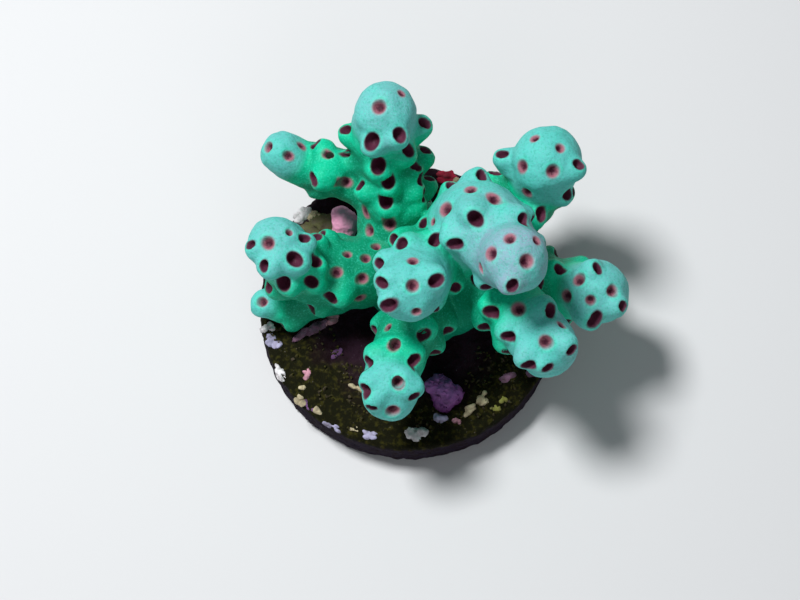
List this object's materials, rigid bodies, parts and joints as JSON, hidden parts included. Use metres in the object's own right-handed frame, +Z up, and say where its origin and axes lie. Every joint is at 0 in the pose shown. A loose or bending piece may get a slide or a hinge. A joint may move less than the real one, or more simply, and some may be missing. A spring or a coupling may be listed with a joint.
{
  "type": "branching coral frag on a disc",
  "caption": "Branching stony coral with cup-lipped polyp mouths, grown on a round frag disc beside crusted growth knobs.",
  "frame": {"origin": "centre of the frag disc's underside", "axes": "+Z up out of the disc towards the limb tips, +Y towards the back limb, +X towards the right limb"},
  "size_m": [0.0388, 0.0341, 0.0303],
  "materials": {
    "coral_skin": "matte, finely grained",
    "disc_crust": "rough, overgrown",
    "pink_crust": "matte",
    "purple_crust": "matte"
  },
  "bodies": {
    "root": {"frag_disc": "disc_crust", "trunk": "coral_skin", "back_limb": "coral_skin", "back_left_limb": "coral_skin", "left_limb": "coral_skin", "low_left_limb": "coral_skin", "mid_left_limb": "coral_skin", "mid_right_limb": "coral_skin", "back_right_limb": "coral_skin", "right_limb": "coral_skin", "front_right_limb": "coral_skin", "front_limb": "coral_skin", "pink_knob": "pink_crust", "purple_knob": "purple_crust"}
  },
  "joints": []
}
